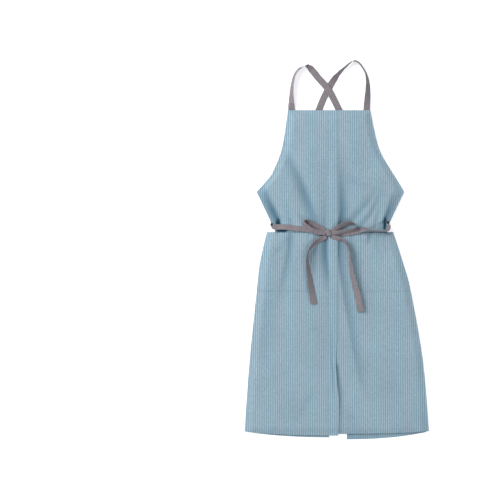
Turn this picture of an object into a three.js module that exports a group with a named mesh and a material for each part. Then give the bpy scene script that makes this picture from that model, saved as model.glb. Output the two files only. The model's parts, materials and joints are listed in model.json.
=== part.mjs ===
// Butcher apron with a bib, a vented front, two hip pockets and crossed straps that tie at the waist.
// It lies flat, front up. Millimetres: +X to the viewer's right, +Y towards the bib, +Z up off the table.
// The origin is the centre of its outline, at table level.
import * as THREE from 'three';

// ---- cloth, tape and the air between layers that touch
const CLOTH = 0.8;
const TAPE_WIDTH = 20;
const TAPE_THICK = 1.2;
const GAP = 0.3;

// ---- the outline, from the bib's top edge to the hem: height, middle and full width at each level
const LEVELS = {
  bibTop: { y: 418, middle: -23, width: 248 },
  chest: { y: 305, middle: -19, width: 291 },
  underarm: { y: 235, middle: -13, width: 356 },
  armpit: { y: 213, middle: -13, width: 384 },
  sidePoint: { y: 173, middle: -19, width: 444 },
  waist: { y: 80, middle: -19, width: 356 },
  skirtTop: { y: 50, middle: -20, width: 381 },
  hip: { y: -43, middle: -15.5, width: 431 },
  pocketFoot: { y: -124, middle: -9, width: 462 },
  thigh: { y: -330, middle: -1.5, width: 519 },
  hemCorner: { y: -545, middle: 0, width: 553 },
};

// ---- the notch at each side of the waist, where the tie comes round from the back
const NOTCH_TOP = { left: 91, right: 96 };
const NOTCH_X = { left: -184, right: 141 };

// ---- front opening, hems and facings
const SEAM_X = -12;
const PLACKET_WIDTH = 27;
const LAP_EDGE_X = 3;
const FRONT_HEM_END_Y = { left: -557, right: -553 };
const HEM_DEPTH = 12;
const BIB_FACING_DEPTH = 12;
const ARMHOLE_FACING_WIDTH = 7;
const BACK_FACING_WIDTH = 10;
const EDGE_INSET = 0.6;
const HEM_END_INSET = 1.2;
const FLAP_HEM_INSET = 2.4;

// ---- back panels: each runs from the side round to a free inner edge, and opens out about a straight fold line
const FLAP_FOLD_INSET = 8;
const BACK_TOP_DROP = 4;
const BACK_INNER_TOP_X = { left: -140, right: 103 };
const BACK_INNER_HEM_X = { left: -21, right: 28 };
const BACK_HEM_END_Y = { left: -563, right: -569 };

// ---- where the bib folds down over the skirt
const FOLD_Y = 99;

// ---- hip pockets
const POCKET_WIDTH = 150;
const POCKET_DEPTH = 174;
const POCKET_INSET = 1;
const POCKET_MOUTH_FACING = 20;

// ---- strap ends, side loops and bow
const STRAP_END_LENGTH = 24;
const STRAP_EDGE_INSET = 1;
const GATHERED_WIDTH = 4;
const GATHERED_THICK = 2.4;
const LOOP_CLEARANCE = 0.5;
const SIDE_LOOP = { length: 7, wall: 1.1, rim: 0.4, centre: { left: [-195.5, 75], right: [154.5, 81] } };
const KNOT = { x: -25.5, y: 50, width: 18, length: 23, height: 12 };
const LEG_LIFT = 1.6;
const LEG_SPACING = 2.7;

// ---- layers, from the table up
const WING_Z = TAPE_THICK + GAP;
const FACING_Z = WING_Z + CLOTH + GAP;
const FRONT_Z = FACING_Z + CLOTH + GAP;
const OVER_Z = FRONT_Z + CLOTH + GAP;
const POCKET_Z = OVER_Z + CLOTH + GAP;
const BACK_Z = 0;
const BACK_SIDE_Z = BACK_Z + CLOTH + GAP;
const BACK_FACING_Z = BACK_SIDE_Z;
const STRAP_END_Z = FACING_Z - GAP - TAPE_THICK;
const ON_FRONT = OVER_Z;
const ON_PLACKET = POCKET_Z;
const ON_POCKET = POCKET_Z + CLOTH + GAP;
const ON_TIE = ON_PLACKET + TAPE_THICK + GAP;

const clothMaterial = () => new THREE.MeshStandardMaterial({ color: 0x94aebc, roughness: 0.9, metalness: 0 });
const tapeMaterial = () => new THREE.MeshStandardMaterial({ color: 0x7e7a7e, roughness: 0.9, metalness: 0 });
const loopMaterial = () => new THREE.MeshStandardMaterial({ color: 0x23262b, roughness: 0.7, metalness: 0 });

const apron = new THREE.Group();
const SIDES = { left: -1, right: 1 };

function addMesh(name, geometry, material) {
  const mesh = new THREE.Mesh(geometry, material);
  mesh.name = name;
  apron.add(mesh);
  return mesh;
}

// A flat piece of cloth: a closed outline, one layer thick, lying at height z.
function addPanel(name, outline, z, material = clothMaterial(), thickness = CLOTH) {
  const geometry = new THREE.ExtrudeGeometry(new THREE.Shape(outline), { depth: thickness, bevelEnabled: false });
  addMesh(name, geometry, material).position.z = z;
}

const point = (x, y) => new THREE.Vector2(x, y);

// ---- outline helpers: every one runs down the named side, from the bib towards the hem

function levelPoint(level, side) {
  const { y, middle, width } = LEVELS[level];
  return point(middle + SIDES[side] * width / 2, y);
}

function edgeCurve(levels, side, steps) {
  return new THREE.SplineCurve(levels.map((level) => levelPoint(level, side))).getPoints(steps);
}

function crossing(a, b, y) {
  return point(a.x + (b.x - a.x) * (y - a.y) / (b.y - a.y), y);
}

// The line moved towards the middle of the apron.
function inward(line, side, distance) {
  return line.map((p, i) => {
    const before = line[Math.max(i - 1, 0)];
    const after = line[Math.min(i + 1, line.length - 1)];
    const along = after.clone().sub(before).normalize();
    const shift = -SIDES[side] * distance;
    return point(p.x - along.y * shift, p.y + along.x * shift);
  });
}

// A narrow strip that follows a line, from inset to inset + width inside it.
function strip(line, side, inset, width) {
  return [...inward(line, side, inset), ...inward(line, side, inset + width).reverse()];
}

function waistEdge(side, y) {
  return crossing(levelPoint('sidePoint', side), levelPoint('waist', side), y);
}

// The skirt's side, below the notch that the tie passes through.
function skirtEdge(side) {
  return edgeCurve(['skirtTop', 'hip', 'pocketFoot', 'thigh', 'hemCorner'], side, 20);
}

// A hem that sinks from the side's lower corner to its inner end.
function hemLine(corner, end) {
  const bend = point(corner.x + (end.x - corner.x) * 0.4, end.y);
  return new THREE.QuadraticBezierCurve(corner, bend, end).getPoints(10);
}

// The cloth turned up inside a hem.
function addHem(name, corner, end, side, z) {
  const low = hemLine(
    point(corner.x - SIDES[side] * HEM_END_INSET, corner.y + EDGE_INSET), point(end.x, end.y + EDGE_INSET));
  addPanel(name, [...low, ...low.map((p) => point(p.x, p.y + HEM_DEPTH)).reverse()], z);
}

// Where a line that runs down a side passes a height.
function lineAt(line, y) {
  const after = line.findIndex((p) => p.y <= y);
  return crossing(line[after - 1], line[after], y);
}

const sideChord = (side, y) => crossing(levelPoint('skirtTop', side), levelPoint('hemCorner', side), y);

// How far inside the side's chord the flap's fold lies: clear of the skirt's side wherever that bows inward.
function foldInset(side) {
  const bows = skirtEdge(side).map((p) => SIDES[side] * (sideChord(side, p.y).x - p.x));
  return FLAP_FOLD_INSET + Math.max(0, ...bows);
}

// The least inset that keeps a strip of a given depth clear of the sloping fold.
function foldClearance(side, depth) {
  const lean = Math.abs(sideChord(side, depth).x - sideChord(side, 0).x);
  return Math.max(FLAP_HEM_INSET, lean + GAP / 2);
}

// The straight line that a back flap opens about, moved inward by a distance.
function flapFold(side, y, distance) {
  return point(sideChord(side, y).x - SIDES[side] * (foldInset(side) + distance), y);
}

function backInnerEdge(side, y) {
  const top = point(BACK_INNER_TOP_X[side], LEVELS.sidePoint.y - BACK_TOP_DROP);
  const hem = point(BACK_INNER_HEM_X[side], BACK_HEM_END_Y[side]);
  return crossing(top, hem, y);
}

// ---- front panels, their facings and hems

for (const side of ['left', 'right']) {
  const seam = SEAM_X + SIDES[side] * GAP / 2;
  const armhole = edgeCurve(['bibTop', 'chest', 'underarm', 'armpit', 'sidePoint'], side, 16);
  const bibFold = FOLD_Y + GAP;
  addPanel(`bib_front_${side}`, [
    point(seam, LEVELS.bibTop.y),
    ...armhole,
    waistEdge(side, bibFold),
    point(seam, bibFold),
  ], FRONT_Z);

  const facingTop = LEVELS.bibTop.y - BIB_FACING_DEPTH - GAP;
  const facingEnd = LEVELS.sidePoint.y + ARMHOLE_FACING_WIDTH;
  const faced = armhole.filter((p) => p.y < facingTop && p.y > facingEnd);
  addPanel(`armhole_facing_${side}`, strip(faced, side, EDGE_INSET, ARMHOLE_FACING_WIDTH), FACING_Z);

  const skirtFold = FOLD_Y - GAP;
  const hemEnd = point(side === 'left' ? SEAM_X - GAP / 2 : seam, FRONT_HEM_END_Y[side]);
  const hem = hemLine(levelPoint('hemCorner', side), hemEnd);
  addPanel(`skirt_front_${side}`, [
    point(seam, skirtFold),
    waistEdge(side, skirtFold),
    waistEdge(side, NOTCH_TOP[side]),
    point(NOTCH_X[side], NOTCH_TOP[side]),
    point(NOTCH_X[side], LEVELS.skirtTop.y),
    ...skirtEdge(side),
    ...hem.slice(1),
  ], FRONT_Z);

  addHem(`front_hem_${side}`, levelPoint('hemCorner', side), hemEnd, side, FACING_Z);
}

const bibLeft = levelPoint('bibTop', 'left');
const bibRight = levelPoint('bibTop', 'right');
addPanel('bib_top_facing', [
  point(bibLeft.x + EDGE_INSET, bibLeft.y - EDGE_INSET),
  point(bibRight.x - EDGE_INSET, bibRight.y - EDGE_INSET),
  point(bibRight.x - EDGE_INSET, bibRight.y - BIB_FACING_DEPTH),
  point(bibLeft.x + EDGE_INSET, bibLeft.y - BIB_FACING_DEPTH),
], FACING_Z);

// The placket covers the front seam and laps over the right panel down to the hem, open below the vent's top.
function addPlacket(name, top, bottom) {
  addPanel(name, [
    point(LAP_EDGE_X - PLACKET_WIDTH, top),
    point(LAP_EDGE_X, top),
    point(LAP_EDGE_X, bottom),
    point(LAP_EDGE_X - PLACKET_WIDTH, bottom),
  ], OVER_Z);
}
addPlacket('bib_placket', LEVELS.bibTop.y, FOLD_Y + GAP);
addPlacket('skirt_placket', FOLD_Y - GAP, FRONT_HEM_END_Y.left);

// ---- hip pockets, sewn on out to the side folds

for (const side of ['left', 'right']) {
  const mouth = LEVELS.skirtTop.y;
  const pocketBottom = mouth - POCKET_DEPTH;
  const sideLine = inward(skirtEdge(side), side, POCKET_INSET);
  const outer = sideLine.filter((p) => p.y < mouth && p.y > pocketBottom);
  const mouthX = sideLine[0].x;
  const bottomX = lineAt(sideLine, pocketBottom).x;
  const innerX = bottomX - SIDES[side] * POCKET_WIDTH;
  addPanel(`pocket_${side}`, [
    point(mouthX, mouth),
    ...outer,
    point(bottomX, pocketBottom),
    point(innerX, pocketBottom),
    point(innerX, mouth),
  ], POCKET_Z);
  addPanel(`pocket_facing_${side}`, [
    point(mouthX, mouth - EDGE_INSET),
    point(innerX, mouth - EDGE_INSET),
    point(innerX, mouth - POCKET_MOUTH_FACING),
    point(mouthX, mouth - POCKET_MOUTH_FACING),
  ], OVER_Z);
}

// ---- back panels: the wing beside the bib, the stretch behind the waist and the free flap behind the skirt

for (const side of ['left', 'right']) {
  const top = LEVELS.sidePoint.y - BACK_TOP_DROP;
  const bibFold = FOLD_Y + GAP;
  const skirtFold = FOLD_Y - GAP;
  const edge = (y) => point(waistEdge(side, y).x - SIDES[side] * EDGE_INSET, y);
  addPanel(`wing_${side}`, [
    edge(top),
    edge(bibFold),
    backInnerEdge(side, bibFold),
    backInnerEdge(side, top),
  ], WING_Z);
  addPanel(`wing_facing_${side}`, [
    edge(top),
    edge(top - BACK_FACING_WIDTH),
    backInnerEdge(side, top - BACK_FACING_WIDTH),
    backInnerEdge(side, top),
  ], FACING_Z);

  const waistEnd = LEVELS.skirtTop.y + GAP;
  const notchX = NOTCH_X[side] - SIDES[side] * EDGE_INSET;
  addPanel(`waist_back_${side}`, [
    edge(skirtFold),
    edge(NOTCH_TOP[side]),
    point(notchX, NOTCH_TOP[side]),
    point(notchX, waistEnd),
    backInnerEdge(side, waistEnd),
    backInnerEdge(side, skirtFold),
  ], WING_Z);

  const corner = levelPoint('hemCorner', side);
  const backCorner = point(corner.x - SIDES[side] * EDGE_INSET, corner.y);
  const innerHem = point(BACK_INNER_HEM_X[side], BACK_HEM_END_Y[side]);
  const hem = hemLine(backCorner, innerHem);
  const flapTop = LEVELS.skirtTop.y - GAP;
  const fold = inward(skirtEdge(side), side, EDGE_INSET).slice(1, -1);
  const topCorner = point(levelPoint('skirtTop', side).x - SIDES[side] * EDGE_INSET, flapTop);

  const isFlap = (p) => SIDES[side] * (p.x - flapFold(side, p.y, GAP / 2).x) < 0;
  const sideHem = hem.filter((p) => !isFlap(p));
  const share = foldInset(side) / Math.abs(hem[1].x - hem[0].x);
  const hemCut = hem[0].y + (hem[1].y - hem[0].y) * share;
  addPanel(`back_side_${side}`, [
    topCorner,
    ...fold,
    ...sideHem,
    flapFold(side, hemCut, -GAP / 2),
    flapFold(side, flapTop, -GAP / 2),
  ], BACK_SIDE_Z);
  const flapHem = [flapFold(side, hemCut, GAP / 2), ...hem.filter(isFlap)];
  addPanel(`back_panel_${side}`, [
    flapFold(side, flapTop, GAP / 2),
    ...flapHem,
    backInnerEdge(side, flapTop),
  ], BACK_Z);
  const low = flapHem.map((p) => point(p.x, p.y + EDGE_INSET));
  low[0].x -= SIDES[side] * foldClearance(side, HEM_DEPTH);
  addPanel(`back_hem_${side}`, [...low, ...low.map((p) => point(p.x, p.y + HEM_DEPTH)).reverse()], BACK_FACING_Z);
  const facingEnd = innerHem.y + HEM_DEPTH + HEM_END_INSET;
  const facedEdge = [backInnerEdge(side, flapTop - EDGE_INSET), backInnerEdge(side, facingEnd)];
  const outward = (p, distance) => point(p.x + SIDES[side] * distance, p.y);
  addPanel(`back_edge_facing_${side}`, [
    outward(facedEdge[0], EDGE_INSET),
    outward(facedEdge[1], EDGE_INSET),
    outward(facedEdge[1], EDGE_INSET + BACK_FACING_WIDTH),
    outward(facedEdge[0], EDGE_INSET + BACK_FACING_WIDTH),
  ], BACK_FACING_Z);
}

// ---- tape: a flat band bent along a route
// A route point is x, y, the height of the tape's lowest edge, its lean in degrees (0 flat, 90 on edge)
// and how far it is gathered (0 full width, 1 bunched as it is inside a side loop).

const STEPS_PER_POINT = 4;
const UNDER_FACE = 5;

function smooth(t) {
  return t * t * (3 - 2 * t);
}

function tapeStations(route, stepsPerPoint) {
  const line = new THREE.CatmullRomCurve3(
    route.map(([x, y, low]) => new THREE.Vector3(x, y, low)), false, 'centripetal');
  const count = (route.length - 1) * stepsPerPoint;
  const stations = [];
  for (let i = 0; i <= count; i += 1) {
    const place = i / stepsPerPoint;
    const from = route[Math.min(Math.floor(place), route.length - 2)];
    const to = route[Math.min(Math.floor(place), route.length - 2) + 1];
    const share = smooth(place - Math.min(Math.floor(place), route.length - 2));
    const lean = THREE.MathUtils.degToRad(from[3] + (to[3] - from[3]) * share);
    const gather = from[4] + (to[4] - from[4]) * share;
    const width = TAPE_WIDTH + (GATHERED_WIDTH - TAPE_WIDTH) * gather;
    const thick = TAPE_THICK + (GATHERED_THICK - TAPE_THICK) * gather;
    const centre = line.getPoint(i / count);
    const low = Math.max(centre.z, 0);
    centre.z = low + Math.abs(Math.sin(lean)) * width / 2 + Math.abs(Math.cos(lean)) * thick / 2;
    stations.push({ centre, low, lean, width, thick });
  }
  return stations;
}

// The band's own directions at each station: across its width and through its thickness.
function addFrames(stations) {
  const up = new THREE.Vector3(0, 0, 1);
  const last = stations.length - 1;
  stations.forEach((station, i) => {
    const after = stations[Math.min(i + 1, last)].centre;
    const before = stations[Math.max(i - 1, 0)].centre;
    const along = after.clone().sub(before).normalize();
    const level = up.clone().cross(along).normalize();
    const raised = along.clone().cross(level);
    station.across = level.multiplyScalar(Math.cos(station.lean)).addScaledVector(raised, Math.sin(station.lean));
    station.normal = along.clone().cross(station.across);
  });
  stations.forEach((station) => {
    const halfWidth = Math.abs(station.across.z) * station.width / 2;
    const halfThick = Math.abs(station.normal.z) * station.thick / 2;
    station.centre.z = station.low + halfWidth + halfThick;
  });
}

// Splits a box's lower broad face along the same diagonals as its upper one, so that a twisted band keeps its thickness.
function matchDiagonals(box) {
  const { start, count } = box.groups[UNDER_FACE];
  for (let i = start; i < start + count; i += 6) {
    const [a, b, d, , c] = box.index.array.slice(i, i + 6);
    box.index.array.set([a, b, c, a, c, d], i);
  }
}

function addTape(name, route) {
  const stations = tapeStations(route, STEPS_PER_POINT);
  addFrames(stations);
  const steps = stations.length - 1;
  const geometry = new THREE.BoxGeometry(steps, 1, 1, steps, 1, 1);
  const position = geometry.attributes.position;
  for (let i = 0; i < position.count; i += 1) {
    const station = stations[Math.round(position.getX(i) + steps / 2)];
    const spot = station.centre.clone()
      .addScaledVector(station.across, position.getY(i) * station.width)
      .addScaledVector(station.normal, position.getZ(i) * station.thick);
    position.setXYZ(i, spot.x, spot.y, spot.z);
  }
  matchDiagonals(geometry);
  geometry.computeVertexNormals();
  addMesh(name, geometry, tapeMaterial());
}

// Strap ends, sewn inside the bib's top edge.
const strapX = (side) => levelPoint('bibTop', side).x - SIDES[side] * (TAPE_WIDTH / 2 + STRAP_EDGE_INSET);
for (const side of ['left', 'right']) {
  const x = strapX(side);
  addPanel(`strap_end_${side}`, [
    point(x - TAPE_WIDTH / 2, bibLeft.y),
    point(x + TAPE_WIDTH / 2, bibLeft.y),
    point(x + TAPE_WIDTH / 2, bibLeft.y - STRAP_END_LENGTH),
    point(x - TAPE_WIDTH / 2, bibLeft.y - STRAP_END_LENGTH),
  ], STRAP_END_Z, tapeMaterial(), TAPE_THICK);
}

// Shoulder loops: out of the bib's corner, on edge round the top, and down flat across each other.
const overBib = (rise) => LEVELS.bibTop.y + rise;
const loopFoot = overBib(GAP);
const OVER_STRAP = TAPE_THICK + 2 * GAP;
addTape('strap_loop_left', [
  [strapX('left'), loopFoot, STRAP_END_Z, 0, 0],
  [strapX('left'), loopFoot + 10, STRAP_END_Z, -8, 0],
  [-136.5, overBib(28), 0.5, -40, 0],
  [-136, overBib(54), 0, -57, 0],
  [-133, overBib(82), 0, -70, 0],
  [-125, overBib(109), 0, -76, 0],
  [-111, overBib(125), 0, -75, 0],
  [-98, overBib(131), 0, -90, 0],
  [-86, overBib(130), 0.5, -126, 0],
  [-74, overBib(119), 1.5, -165, 0],
  [-58, overBib(99), 2.6, -178, 0],
  [-25, overBib(61), 3.2, -180, 0],
  [-8, overBib(30), OVER_STRAP, -180, 0],
  [7, loopFoot, 0, -180, 0],
]);
addTape('strap_loop_right', [
  [strapX('right'), loopFoot, STRAP_END_Z, 0, 0],
  [strapX('right'), loopFoot + 10, STRAP_END_Z, 5, 0],
  [91.5, overBib(32), 0.5, 20, 0],
  [93, overBib(62), 0, 38, 0],
  [92, overBib(87), 0, 56, 0],
  [87, overBib(109), 0, 72, 0],
  [76.5, overBib(128), 0, 75, 0],
  [65, overBib(142), 0, 74, 0],
  [54, overBib(147), 0, 73, 0],
  [42, overBib(142.5), 0, 94, 0],
  [25, overBib(128), 0, 107, 0],
  [6.5, overBib(110), 0, 124, 0],
  [-9, overBib(91), 0, 156, 0],
  [-20, overBib(73), 0, 178, 0],
  [-38, overBib(39), 0, 180, 0],
  [-54, loopFoot, 0, 180, 0],
]);

// Rear runs: down behind the bib to the side loops.
const runFoot = FOLD_Y + GAP;
const runTop = overBib(-GAP);
// The run's heights, drawn for this distance from the fold to the bib's top edge.
const RUN_DRAWN = 319;
const runAt = (y) => FOLD_Y + (y - FOLD_Y) * (LEVELS.bibTop.y - FOLD_Y) / RUN_DRAWN;
addTape('strap_run_left', [
  [7.3, runTop, 0, 0, 0],
  [13.5, overBib(-12.6), 0, 0, 0],
  [44, runAt(330), 0, 0, 0],
  [84, runAt(235), 0, 0, 0],
  [120, 160, 0, 0, 0],
  [146, runFoot, 0, 0, 0],
]);
addTape('strap_run_right', [
  [-54.3, runTop, 0, 0, 0],
  [-59, overBib(-11.7), 0, 0, 0],
  [-90, runAt(330), 0, 0, 0],
  [-130, runAt(235), 0, 0, 0],
  [-162, 160, 0, 0, 0],
  [-187, runFoot, 0, 0, 0],
]);

// Waist ties: from behind the waist, bunched through the side loop, and across the front to the knot.
const tieTop = FOLD_Y - GAP;
const loopLeft = SIDE_LOOP.centre.left;
const loopRight = SIDE_LOOP.centre.right;
const loopInside = Math.hypot(GATHERED_WIDTH, GATHERED_THICK) / 2 + LOOP_CLEARANCE;
const loopOutside = loopInside + SIDE_LOOP.wall;
const throughLoop = loopOutside - GATHERED_THICK / 2;
const knotTie = ON_PLACKET + GAP;
addTape('waist_tie_left', [
  [-187.3, tieTop, 0, 0, 0],
  [-190.7, 90, 0, 0, 0],
  [-193.2, 85.2, 0, 0, 0.1],
  [-194.9, 82, 1.4, 0, 0.75],
  [loopLeft[0], loopLeft[1] + 4.3, throughLoop, 0, 1],
  [loopLeft[0], loopLeft[1], throughLoop, 0, 1],
  [loopLeft[0], loopLeft[1] - 4.3, throughLoop, 0, 1],
  [-190, 65.5, ON_FRONT - 0.3, 0, 0.8],
  [-179, 68, ON_FRONT, 0, 0.2],
  [-160, 69, ON_FRONT, 0, 0.15],
  [-122, 65.5, ON_FRONT, 0, 0.15],
  [-83, 61, ON_FRONT, 0, 0.15],
  [-60, 56, ON_FRONT, 0, 0.15],
  [-46, 53, knotTie - 0.6, 0, 0.3],
  [-33.5, 50.5, knotTie, 0, 0.5],
]);
addTape('waist_tie_right', [
  [146.4, tieTop, 0, 0, 0],
  [148.2, 94.4, 0, 0, 0],
  [151.2, NOTCH_TOP.right - TAPE_WIDTH * 0.27, 0, 0, 0.15],
  [153.6, 88, 1.4, 0, 0.75],
  [loopRight[0], loopRight[1] + 4.3, throughLoop, 0, 1],
  [loopRight[0], loopRight[1], throughLoop, 0, 1],
  [loopRight[0], loopRight[1] - 4.3, throughLoop, 0, 1],
  [155, 69, ON_FRONT, 60, 0.4],
  [153, 60, ON_FRONT, 70, 0],
  [145, 56, ON_FRONT, 78, 0],
  [130, 56, ON_FRONT, 80, 0],
  [110, 57, ON_FRONT, 80, 0],
  [92, 59, ON_FRONT, 72, 0],
  [77, 60, ON_FRONT, 42, 0],
  [62, 58, ON_FRONT, 0, 0],
  [40, 52.5, ON_FRONT, 0, 0],
  [14, 50.3, ON_PLACKET, 0, 0],
  [-6, 50, ON_PLACKET, 0, 0.2],
  [-17.5, 50, knotTie, 0, 0.5],
]);

// Side loops: short sleeves of elastic at the waist's edges that the tape is pulled through.
for (const side of ['left', 'right']) {
  const half = SIDE_LOOP.length / 2;
  const profile = [
    [loopInside, -half],
    [loopOutside - SIDE_LOOP.rim, -half],
    [loopOutside, -half + SIDE_LOOP.rim],
    [loopOutside, half - SIDE_LOOP.rim],
    [loopOutside - SIDE_LOOP.rim, half],
    [loopInside, half],
    [loopInside, -half],
  ].map(([radius, height]) => point(radius, height));
  const mesh = addMesh(`side_loop_${side}`, new THREE.LatheGeometry(profile, 14), loopMaterial());
  const [x, y] = SIDE_LOOP.centre[side];
  mesh.position.set(x, y, loopOutside);
}

// Knot: one rounded lump over the middle of the ties.
const knotShape = new THREE.SphereGeometry(0.5, 14, 10);
const knot = addMesh('bow_knot', knotShape, tapeMaterial());
knot.scale.set(KNOT.width, KNOT.length, KNOT.height);
knot.position.set(KNOT.x, KNOT.y, ON_PLACKET + KNOT.height / 2);

// Bow loops and tails.
const legLow = ON_TIE + LEG_LIFT;
const legHigh = legLow + LEG_SPACING;
addTape('bow_loop_left', [
  [-35, 56, legLow, 0, 0.5],
  [-50, 66, ON_TIE, -5, 0.1],
  [-68, 79, ON_TIE, -15, 0],
  [-82, 88.5, ON_TIE, -45, 0.1],
  [-92, 91, ON_TIE, -72, 0.25],
  [-97, 85, ON_TIE, -95, 0.25],
  [-92, 76, ON_TIE + 1.1, -125, 0.1],
  [-78, 64, ON_TIE + 2.6, -150, 0],
  [-62, 55.5, ON_TIE + 3.2, -168, 0.1],
  [-48, 51.5, legHigh, -176, 0.3],
  [-35, 50, legHigh, -180, 0.5],
]);
addTape('bow_loop_right', [
  [-16, 56.5, legLow, 0, 0.5],
  [-4, 60, ON_TIE + 1.2, 15, 0.2],
  [10, 68, ON_TIE, 35, 0],
  [26, 75, ON_TIE - 0.8, 48, 0],
  [41, 77.5, ON_TIE - 1, 66, 0],
  [51.5, 74, ON_TIE - 1, 86, 0.1],
  [54, 66, ON_TIE - 1, 100, 0.1],
  [49, 58, ON_TIE - 0.8, 135, 0],
  [36, 53, ON_TIE + 0.2, 158, 0],
  [18, 51.5, ON_TIE + 1.2, 170, 0],
  [0, 51, ON_TIE + 3, 176, 0.3],
  [-16, 50.4, legHigh, 180, 0.5],
]);
addTape('tail_left', [
  [-32.6, 38.8, legLow, 0, 0.5],
  [-48, 31, ON_TIE, 0, 0.1],
  [-65, 22, ON_POCKET, -20, 0],
  [-78, 5, ON_POCKET, -50, 0],
  [-87, -10, ON_POCKET, -74, 0],
  [-89, -34, ON_POCKET, -64, 0],
  [-86, -62, ON_POCKET, -48, 0],
  [-79.5, -99, ON_POCKET, -34, 0],
  [-69, -163, ON_POCKET, -12, 0],
]);
addTape('tail_right', [
  [-17.5, 38.5, legLow, 0, 0.5],
  [-3, 32.6, ON_TIE, 0, 0.4],
  [19, 28.5, ON_POCKET, 20, 0],
  [29.5, 12, ON_POCKET, 70, 0],
  [35, -5, ON_POCKET, 86, 0],
  [37, -24, ON_POCKET, 76, 0],
  [42, -58, ON_POCKET, 58, 0],
  [50, -95, ON_POCKET, 44, 0],
  [61, -137, ON_POCKET, 31, 0],
  [71, -185, ON_POCKET, 20, 0],
]);

export default apron;
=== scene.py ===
"""Looks of the butcher apron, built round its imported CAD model.

Lengths are in millimetres until a mesh is made.
"""

import json
import math

import bmesh
import bpy
import numpy as np
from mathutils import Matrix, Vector, noise
from mathutils.bvhtree import BVHTree


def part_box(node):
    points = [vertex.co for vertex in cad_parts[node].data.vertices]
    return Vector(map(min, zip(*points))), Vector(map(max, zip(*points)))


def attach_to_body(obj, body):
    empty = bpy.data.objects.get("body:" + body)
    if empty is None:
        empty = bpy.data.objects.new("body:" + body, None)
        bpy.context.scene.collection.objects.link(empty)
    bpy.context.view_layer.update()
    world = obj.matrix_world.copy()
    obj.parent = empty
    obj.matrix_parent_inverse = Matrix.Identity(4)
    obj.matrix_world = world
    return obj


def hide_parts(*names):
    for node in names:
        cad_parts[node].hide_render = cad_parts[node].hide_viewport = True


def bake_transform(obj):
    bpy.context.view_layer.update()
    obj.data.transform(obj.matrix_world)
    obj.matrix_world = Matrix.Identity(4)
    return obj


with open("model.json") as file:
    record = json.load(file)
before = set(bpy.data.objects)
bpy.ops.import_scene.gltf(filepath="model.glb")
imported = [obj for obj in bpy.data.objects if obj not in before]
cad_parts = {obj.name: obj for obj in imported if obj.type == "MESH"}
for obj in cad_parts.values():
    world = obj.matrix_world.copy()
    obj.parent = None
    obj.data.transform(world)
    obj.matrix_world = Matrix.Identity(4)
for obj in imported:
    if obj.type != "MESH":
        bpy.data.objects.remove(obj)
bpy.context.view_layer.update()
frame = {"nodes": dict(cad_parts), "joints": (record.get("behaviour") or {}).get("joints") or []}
NODES = frame["nodes"]

MM = 0.001
SIDES = {"left": -1, "right": 1}

# ---- cloth and tape, as in the CAD model
CLOTH = 0.8
LAYER = 1.1
TAPE_WIDTH = 20
TAPE_THICK = 1.2
GATHERED_WIDTH = 4
GATHERED_THICK = 2.4

# ---- how the cloth lies
GRAIN = 3.4
FRONT_REST = 4.6
PUFF = 7.0
PUFF_REACH = 26
ROLL_STEPS = 7
UNDER_STEPS = 4
TURN_UNDER = 7.6
WRAP_UNDER = 9.5
BACK_TOP = 1.7
WING_TOP = 2.45
FLAP_TOP = 0.9
SEAM_HALF_GAP = 0.2
EDGE_RADIUS = 1.8
FACING_THICK = 0.5
STRIPE_PITCH = 6.6

# ---- where the front is parted into the pieces that move apart
WAIST_SPLIT = 47
SPLIT_OVERLAP = 5
FOLD_START = 84
FOLD_END = 114
STRAP_BEND_START = 409
STRAP_BEND_END = 427


def mm(corner):
    return np.array(corner) / MM


def node_box(name):
    low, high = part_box(name)
    return mm(low), mm(high)


def smooth(t):
    t = np.clip(t, 0, 1)
    return t * t * (3 - 2 * t)


# ---------------------------------------------------------------- outline, read from the CAD panels

class Outline:
    """The x range of a flat CAD panel at any height."""

    def __init__(self, name):
        mesh = NODES[name].data
        points = np.array([v.co[:2] for v in mesh.vertices]) / MM
        ends = np.array([e.vertices[:] for e in mesh.edges])
        self.a = points[ends[:, 0]]
        self.b = points[ends[:, 1]]
        self.low = points[:, 1].min()
        self.high = points[:, 1].max()

    def span(self, y):
        y = min(max(y, self.low + 0.02), self.high - 0.02)
        a, b = self.a, self.b
        hit = (a[:, 1] - y) * (b[:, 1] - y) < 0
        share = (y - a[hit, 1]) / (b[hit, 1] - a[hit, 1])
        x = a[hit, 0] + (b[hit, 0] - a[hit, 0]) * share
        return x.min(), x.max()

    def hem(self, below):
        """The hem's height at each x, from the panel's corners below a height."""
        ends = np.concatenate([self.a, self.b])
        low = ends[ends[:, 1] < below]
        order = np.argsort(low[:, 0])
        xs, ys = low[order, 0], low[order, 1]
        return lambda x: float(np.interp(x, xs, ys))


BIB = {side: Outline(f"bib_front_{side}") for side in SIDES}
SKIRT = {side: Outline(f"skirt_front_{side}") for side in SIDES}
POCKET = {side: Outline(f"pocket_{side}") for side in SIDES}
WING = {side: Outline(f"wing_{side}") for side in SIDES}
WAIST_BACK = {side: Outline(f"waist_back_{side}") for side in SIDES}
FLAP = {side: Outline(f"back_panel_{side}") for side in SIDES}

BIB_TOP = BIB["left"].high
SIDE_POINT = node_box("wing_left")[1][1] + 4
SKIRT_HEM_BELOW = -530
FLAP_HEM_BELOW = -540
NOTCH_TOP = {"left": 91, "right": 96}
NOTCH_START = {"left": 5, "right": 8}
NOTCH_EASE = {"left": 20, "right": 12}
NOTCH_FILL = {"left": 3.5, "right": 12}
SKIRT_TOP = POCKET["left"].high
SEAM_X = BIB["left"].span(300)[1]
# The side's slope above the notch is read between two heights, and the notch's depth at a third.
SLOPE_READ = (120, 150)
NOTCH_READ = 70


def panel_ends(outlines, side, y):
    """The inner and the outer x of a panel at a height."""
    low, high = outlines[side].span(y)
    return (high, low) if side == "left" else (low, high)


def inner_end(outlines, side, y):
    return panel_ends(outlines, side, y)[0]


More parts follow.
